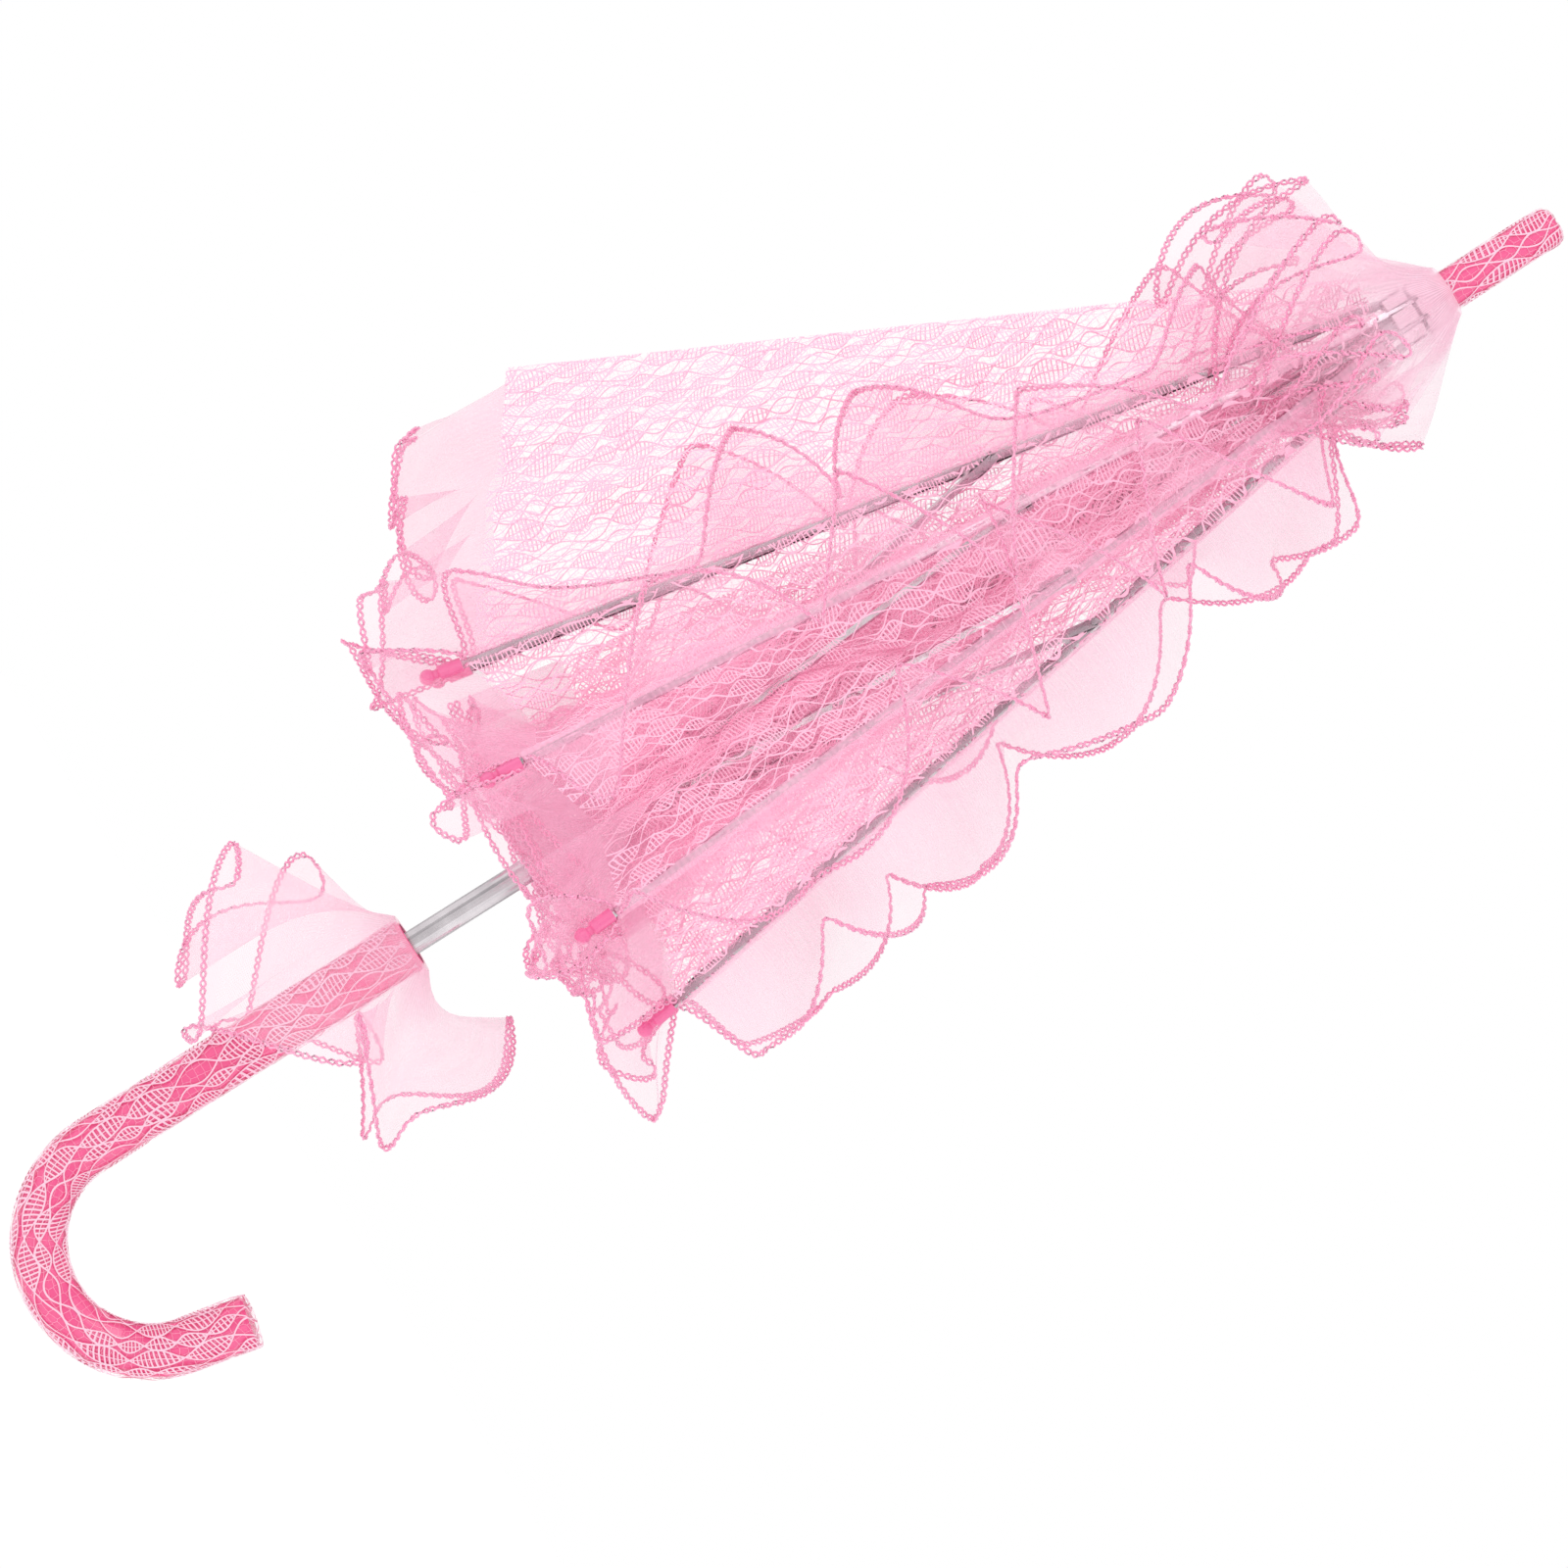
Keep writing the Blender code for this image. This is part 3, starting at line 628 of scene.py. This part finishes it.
PINK_PLASTIC = plastic_material(
    "pink_plastic_gloss", colour=(0.93, 0.12, 0.32), deep=(0.90, 0.10, 0.29), rough=0.22
)
BALL_PLASTIC = plastic_material(
    "ball_tip_gloss", colour=(0.90, 0.14, 0.36), deep=(0.92, 0.22, 0.44), rough=0.30
)
NYLON = plastic_material(
    "white_nylon", colour=(0.93, 0.80, 0.85), deep=(0.90, 0.72, 0.80), rough=0.42
)


def repaint():
    """Gives each CAD piece that stays in view its own material."""
    looks = {
        "steel": STEEL_WIRE,
        "pink_plastic": PINK_PLASTIC,
        "ball_plastic": BALL_PLASTIC,
        "nylon": NYLON,
    }
    for entry in frame["record"]["subparts"]:
        look = looks.get(entry["material_slot"], ORGANZA)
        if entry["node"] == "shaft":
            look = STEEL_LONG
        o = frame["nodes"][entry["node"]]
        o = bpy.data.objects[o] if isinstance(o, str) else o
        o.data.materials.clear()
        o.data.materials.append(look)


# ---------------------------------------------------------------- canopy


def flatten(piece):
    """Gives the piece its own copy of its mesh."""
    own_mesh(piece)


def make_leaf(leaf):
    """The lace of half a gore, and the organza ruffle sewn along its hem."""
    rows = 84
    shares = np.concatenate([[0, 0.006, 0.012, 0.02], np.linspace(0.03, 1, 34)])
    v = shares[None, :].repeat(rows, axis=0)
    t = np.linspace(0, 1, rows)[:, None]
    a = CLOTH_START + (leaf.hem(v) - CLOTH_START) * t
    points = leaf.shape(a, v)
    uvs = np.stack([a + 0.4 * leaf.gore, leaf.width(a) * v * leaf.side + 0.2], axis=2)
    lace = grid(f"{leaf.node}_lace", points, uvs, LACE)
    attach(lace, leaf.body)
    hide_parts(leaf.node)
    flat_area = float((leaf.width(leaf.hem(v[0]) / 2) * leaf.hem(v[0])).mean())
    cut = (round(HEM_AT_RIB, 4), round(leaf.width(HEM_AT_RIB), 4))
    flatten(lace)
    make_hem_ruffle(leaf)


def make_hem_ruffle(leaf):
    """The organza sewn along the hem. It flares away from the bundle by the rib's end."""
    v = np.linspace(0.01, 1, 150)
    a = leaf.hem(v)
    seam, above = leaf.shape(a, v), leaf.shape(a - 0.004, v)
    out = unit_rows(seam - above)
    side = np.broadcast_to(leaf.face, seam.shape)
    seed = 20 + 2 * leaf.gore + (leaf.side > 0)
    height, flare = HEM_RUFFLE_HEIGHT, -0.015 * ((1 - v) ** 0.7)[:, None] * leaf.across
    if not leaf.folded_in:
        height *= OUT_HEM_SHARE
        flare = 0.010 * leaf.rib.along - 0.006 * leaf.across
        out = unit_rows(out * 0.35 + leaf.rib.along * 0.65)
    points = ruffle_points(
        seam, out, side, height, waves=1.5, swing=0.024, curl=0.009,
        seed=seed, rows=10, ends=(0.04, 0), droop=flare,
    )
    cloth = grid(f"{leaf.node}_hem_ruffle", points, uv_rows(points, 0.3 * leaf.gore), ORGANZA)
    edge = chain(f"{leaf.node}_hem_edge", points[-1], points[-3], THREAD)
    for piece in (cloth, edge):
        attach(piece, leaf.body)
        flatten(piece)


def make_rib_ruffle(rib):
    """The organza along a rib. It leans to and fro, or is pushed aside by the outward pleat."""
    count = 300
    a = np.linspace(RIB_RUFFLE_START, HEM_AT_RIB, count)
    seam = rib.point(a[:, None], out=SEAM_LIFT)
    pushed = {OUT_GORE: -0.55, OUT_GORE + 1: 0.30}.get(rib.number, 0.0)
    to_and_fro = wander(rib.number + 40)(np.linspace(0, 1, count))[:, None]
    lean = pushed + (0.75 - abs(pushed)) * to_and_fro
    out = np.cos(lean) * rib.normal + np.sin(lean) * rib.around
    side = np.cos(lean) * rib.around - np.sin(lean) * rib.normal
    points = ruffle_points(
        seam, out, side, RIB_RUFFLE_HEIGHT, waves=3.6, swing=0.024, curl=0.0032,
        seed=rib.number * 3, rows=11, ends=(0.06, 0.05), droop=0.007 * rib.along,
    )
    cloth = grid(f"rib_{rib.number}_ruffle", points, uv_rows(points, 0.1 * rib.number), ORGANZA)
    edge = chain(f"rib_{rib.number}_ruffle_edge", points[-1], points[-3], THREAD)
    tape = make_tape(rib)
    for piece in (cloth, edge, tape):
        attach(piece, rib.body)
    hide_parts(f"rib_ruffle_{rib.number}")


def make_tape(rib):
    """The seam allowance that lies over the rib's outer face, puckered by its stitches."""
    a = np.linspace(TAPE_START, HEM_AT_RIB, 320)[:, None]
    rows = []
    for share in np.linspace(-1, 1, 7):
        pucker = 0.00012 * np.sin(a * 1150 + 1.5 * share + 2 * np.sin(a * 90))
        pucker = pucker * (1 - 0.5 * abs(share))
        out = SEAM_LIFT - 0.0001 * share ** 2 + pucker
        sway = TAPE_HALF * share * (1 + 0.12 * np.sin(a * 310 + rib.number + share))
        rows.append(rib.point(a, sway, out))
    points = np.array(rows)
    along = np.broadcast_to(a[:, 0], points.shape[:2])
    uvs = np.stack([along, np.zeros(points.shape[:2])], axis=2)
    return grid(f"rib_{rib.number}_tape", points, uvs, TAPE)


def ring_ruffle(name, radius, z, length, pitch, bend, waves, swing, seed, sharp, sag, look):
    """A strip gathered round the shaft's axis, from a seam at the radius and the height z.

    Pitch is its slope below the horizontal, and bend is how much that grows to the free edge. Its
    loops swing up and down by the angle swing, and a larger sharp makes them squarer. Sag is how
    much less it slopes towards +X, and towards both +X and -X."""
    count, rows = 360, 12
    angle = np.linspace(0, 2 * math.pi, count, endpoint=False)
    phase = waves * angle + 0.8 * np.sin(angle + seed) + seed
    loops = np.tanh(sharp * np.sin(phase)) / math.tanh(sharp)
    loops = loops * (1 + 0.22 * np.sin(2 * angle + 2 * seed) + 0.15 * np.sin(3 * angle - seed))
    twice = np.sin(2 * phase)
    reach = length * (1 + 0.10 * np.sin(2 * angle + seed) - 0.30 * abs(sag[0]) * np.cos(angle))
    rows_made = []
    r, h = np.full(count, radius), np.full(count, z)
    step = 1.0 / (rows - 1)
    for i in range(rows):
        t = i * step
        turned = angle + 0.30 * t ** 1.4 * twice * 5 / waves
        rows_made.append(np.stack([r * np.cos(turned), r * np.sin(turned), h], axis=1))
        slope = pitch + bend * t + swing * loops * smooth(t * 1.6) + 0.2 * np.sin(3 * angle + seed)
        slope = slope - (sag[0] * np.cos(angle) + sag[1] * np.cos(2 * angle)) * smooth(t * 1.6)
        part = reach * step * (0.82 + 0.18 * loops)
        r = r + part * np.cos(slope)
        h = h - part * np.sin(slope)
    points = np.array(rows_made)
    along, across = angle * 0.045, np.linspace(0, length, rows)[:, None]
    uvs = np.stack([np.broadcast_to(part, points.shape[:2]) for part in (along, across)], axis=2)
    cloth = grid(name, points, uvs, look, closed=True)
    edge = chain(f"{name}_edge", points[-1], points[-3], THREAD, closed=True)
    return cloth, edge


def make_crown_ruffle():
    """Two tiers from one seam: the outer one loops out, and the one under it lies on the ribs."""
    sag = (-0.42, 0.0)
    cloth, edge = ring_ruffle(
        "crown_frill", radius=0.0085, z=0.4440, length=CROWN_HEIGHT, pitch=0.90, bend=0.45,
        waves=8, swing=0.70, seed=3, sharp=1.1, sag=sag, look=GATHERED,
    )
    under, under_edge = ring_ruffle(
        "crown_frill_under", radius=0.0088, z=0.4430, length=CROWN_UNDER_HEIGHT, pitch=1.00,
        bend=0.15, waves=11, swing=0.34, seed=6, sharp=1.3, sag=sag, look=GATHERED,
    )
    for piece in (cloth, edge, under, under_edge):
        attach(piece, "frame")
        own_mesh(piece)
    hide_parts("crown_ruffle")


def make_handle_ruffle():
    """A strip gathered round the grip's top. It stands out most over the hook's side."""
    cloth, edge = ring_ruffle(
        "handle_frill", radius=0.0102, z=0.0600, length=HANDLE_RUFFLE_HEIGHT, pitch=0.66,
        bend=0.10, waves=5, swing=0.58, seed=5, sharp=0.9, sag=(0.52, 0.40), look=HANDLE_ORGANZA,
    )
    for piece in (cloth, edge):
        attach(piece, "frame")
    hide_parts("handle_ruffle")


# ---------------------------------------------------------------- lace sleeves

# The grip's sleeve follows the hook's centreline. The tip's sleeve closes over the tip's dome.
SLEEVE_STEP = 0.0022
GRIP_SLEEVE_R = 0.00895
GRIP_SLEEVE_TOP = 0.0585
HOOK_R = 0.035
HOOK_TURN = math.radians(168)
HOOK_START_Z = -0.059
HOOK_TAIL = 0.0210
TIP_SLEEVE_R = 0.0067
TIP_SLEEVE_LOW = 0.4440
TIP_ROUNDING = 0.0030
TIP_CLOSING = 0.0033
LACE_OVER_TIP = 0.0004
UP = np.array([0, 0, 1.0])


def on_hook(turn):
    """The place and the heading on the hook's centreline, a turn past its start."""
    at = np.array([HOOK_R * (1 - math.cos(turn)), 0, HOOK_START_Z - HOOK_R * math.sin(turn)])
    return at, np.array([math.sin(turn), 0, -math.cos(turn)])


def hook_path():
    """The handle's centreline from the gathered top to the hook's end, with its headings."""
    straight = np.arange(GRIP_SLEEVE_TOP, HOOK_START_Z, -SLEEVE_STEP)
    path = [(np.array([0, 0, z]), -UP) for z in straight]
    path += [on_hook(turn) for turn in np.arange(0, HOOK_TURN, SLEEVE_STEP / HOOK_R)]
    last, heading = on_hook(HOOK_TURN)
    tail = [*np.arange(0, HOOK_TAIL, SLEEVE_STEP), HOOK_TAIL]
    return path + [(last + d * heading, heading) for d in tail]


def finish_sleeve(name, replaced, rows, uvs):
    """Makes the sleeve's mesh, whose texture is laid as wide as its girth, and hides the piece it
    replaces.
    """
    sleeve = grid(name, np.array(rows), np.array(uvs), SLEEVE_LACE)
    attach(sleeve, "frame")
    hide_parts(replaced)


def make_grip_sleeve():
    """Lace drawn over the grip, with soft lengthwise wrinkles, gathered over the hook's end."""
    segments, radius = 57, GRIP_SLEEVE_R
    turns = np.linspace(0, 2 * math.pi, segments)
    path = hook_path()
    stations = [(at, heading, radius) for at, heading in path]
    last, heading = path[-1]
    for share in (0.985, 0.9, 0.7, 0.45, 0.2, 0.05):
        ahead = 0.0004 + 0.0010 * math.sqrt(1 - share ** 2)
        stations.append((last + heading * ahead, heading, radius * share))
    rows, uvs, run, before = [], [], 0.0, path[0][0]
    for at, heading, r in stations:
        run += float(np.linalg.norm(at - before)) + (0.0 if r == radius else 0.0016)
        before = at
        across = np.array([0.0, 1.0, 0.0])
        other = np.cross(across, heading)
        wrinkle = 0.00022 * np.sin(5 * turns + 60 * run + 1)
        wrinkle = wrinkle + 0.00016 * np.sin(9 * turns - 95 * run)
        reach = r + np.clip(wrinkle, -0.00012, 1) * (r / radius)
        ring = np.cos(turns)[:, None] * across + np.sin(turns)[:, None] * other
        rows.append(at + reach[:, None] * ring)
        uvs.append(np.stack([np.full(segments, run), turns * radius], axis=1))
    finish_sleeve("handle_lace_sleeve", "handle_lace", rows, uvs)


def make_tip_sleeve():
    """Lace drawn over the tip and closed over its rounded end."""
    segments, radius = 49, TIP_SLEEVE_R
    turns = np.linspace(0, 2 * math.pi, segments)
    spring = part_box("tip_cap")[1][2] - TIP_ROUNDING
    stations = [(z, radius) for z in np.arange(TIP_SLEEVE_LOW, spring - 0.0002, SLEEVE_STEP)]
    stations.append((spring, radius))
    for degrees in (20, 40, 60, 75, 88):
        t = math.radians(degrees)
        z = spring + (TIP_ROUNDING + LACE_OVER_TIP) * math.sin(t)
        stations.append((z, radius - TIP_ROUNDING * (1 - math.cos(t))))
    z, r = stations.pop()
    stations.append((z, r - TIP_CLOSING))
    rows, uvs = [], []
    for z, r in stations:
        wrinkle = 0.0002 * np.sin(5 * turns + 130 * z) * (r / radius)
        reach = r + np.clip(wrinkle, -0.0001, 1)
        ring = [reach * np.cos(turns), reach * np.sin(turns), np.full(segments, z)]
        rows.append(np.stack(ring, axis=1))
        uvs.append(np.stack([np.full(segments, z), turns * radius], axis=1))
    finish_sleeve("tip_lace_sleeve", "tip_lace", rows, uvs)


# ---------------------------------------------------------------- studio

# The camera looks along +Y at VIEW_CENTRE, and VIEW_WIDTH is the width that it sees there.
VIEW_CENTRE = Vector((0.020, 0.0, 0.1855))
VIEW_WIDTH = 0.492
VIEW_DISTANCE = 1.9
VIEW_RIGHT = Vector((0.533, 0.0, 0.846)).normalized()


def make_camera():
    data = bpy.data.cameras.new("camera")
    camera = bpy.data.objects.new("camera", data)
    bpy.context.scene.collection.objects.link(camera)
    data.lens = data.sensor_width * VIEW_DISTANCE / VIEW_WIDTH
    back = Vector((0.0, -1.0, 0.0))
    up = back.cross(VIEW_RIGHT)
    turn = Matrix((VIEW_RIGHT, up, back)).transposed().to_4x4()
    camera.matrix_world = Matrix.Translation(VIEW_CENTRE + VIEW_DISTANCE * back) @ turn
    bpy.context.scene.camera = camera


def make_light(name, at, target, power, size):
    """A square white light, its power in watts and its size in metres."""
    data = bpy.data.lights.new(name, "AREA")
    data.energy, data.size = power, size
    light = bpy.data.objects.new(name, data)
    bpy.context.scene.collection.objects.link(light)
    light.location = at
    light.rotation_mode = "QUATERNION"
    light.rotation_quaternion = (Vector(target) - Vector(at)).to_track_quat("-Z", "Y")


def make_world():
    """A white room. The camera sees it as plain white, and the metal mirrors its grey walls."""
    world = bpy.data.worlds.new("studio")
    bpy.context.scene.world = world
    world.use_nodes = True
    nodes, links = world.node_tree.nodes, world.node_tree.links
    background, output = nodes["Background"], nodes["World Output"]
    background.inputs["Color"].default_value = (1, 1, 1, 1)
    place = nodes.new("ShaderNodeTexCoord")
    wave = nodes.new("ShaderNodeTexWave")
    wave.wave_type, wave.bands_direction = "BANDS", "X"
    wave.inputs["Scale"].default_value = 0.8
    wave.inputs["Distortion"].default_value = 1.5
    links.new(place.outputs["Generated"], wave.inputs["Vector"])
    ramp = nodes.new("ShaderNodeValToRGB")
    ramp.color_ramp.elements[0].color = (0.06, 0.05, 0.06, 1)
    ramp.color_ramp.elements[0].position = 0.15
    ramp.color_ramp.elements[1].color = (1.05, 1.02, 1.03, 1)
    ramp.color_ramp.elements[1].position = 0.6
    links.new(wave.outputs["Color"], ramp.inputs["Fac"])
    walls, soft = nodes.new("ShaderNodeBackground"), nodes.new("ShaderNodeBackground")
    links.new(ramp.outputs["Color"], walls.inputs["Color"])
    soft.inputs["Color"].default_value = (0.95, 0.95, 0.95, 1)
    path = nodes.new("ShaderNodeLightPath")
    seen, shiny = nodes.new("ShaderNodeMixShader"), nodes.new("ShaderNodeMixShader")
    links.new(path.outputs["Is Glossy Ray"], shiny.inputs["Fac"])
    links.new(soft.outputs["Background"], shiny.inputs[1])
    links.new(walls.outputs["Background"], shiny.inputs[2])
    links.new(path.outputs["Is Camera Ray"], seen.inputs["Fac"])
    links.new(shiny.outputs["Shader"], seen.inputs[1])
    links.new(background.outputs["Background"], seen.inputs[2])
    links.new(seen.outputs["Shader"], output.inputs["Surface"])


def make_floor():
    """A wide white floor far below, lit to the same white as the room."""
    size, z = 12.0, -1.2
    corners = [(-size, -size, z), (size, -size, z), (size, size, z), (-size, size, z)]
    g = Graph("studio_floor")
    tone = g.noise(g.place(), 1.5, 1.0)
    white = g.blend(tone, (0.80, 0.80, 0.80), (0.78, 0.78, 0.78))
    look = g.finish(Base_Color=white, Roughness=0.9, Emission_Color=white, Emission_Strength=0.35)
    mesh_object("studio_floor", corners, [(0, 1, 2, 3)], None, look)


def make_studio():
    scene = bpy.context.scene
    scene.view_settings.view_transform = "Standard"
    scene.cycles.transparent_max_bounces = 64
    make_world()
    middle = (0.0, 0.0, 0.2)
    make_light("key", at=(-1.1, -1.3, 1.5), target=middle, power=6, size=1.0)
    make_light("fill", at=(1.5, -1.2, 0.3), target=middle, power=3, size=1.4)
    make_light("back", at=(0.3, 1.6, 1.1), target=middle, power=2, size=1.4)
    make_floor()
    make_camera()


def build():
    repaint()
    for number in range(1, RIBS + 1):
        make_rib_ruffle(ribs[number])
    for gore in range(1, RIBS + 1):
        for half in ("left", "right"):
            make_leaf(Leaf(gore, half))
    make_crown_ruffle()
    make_handle_ruffle()
    make_grip_sleeve()
    make_tip_sleeve()
    make_studio()


build()
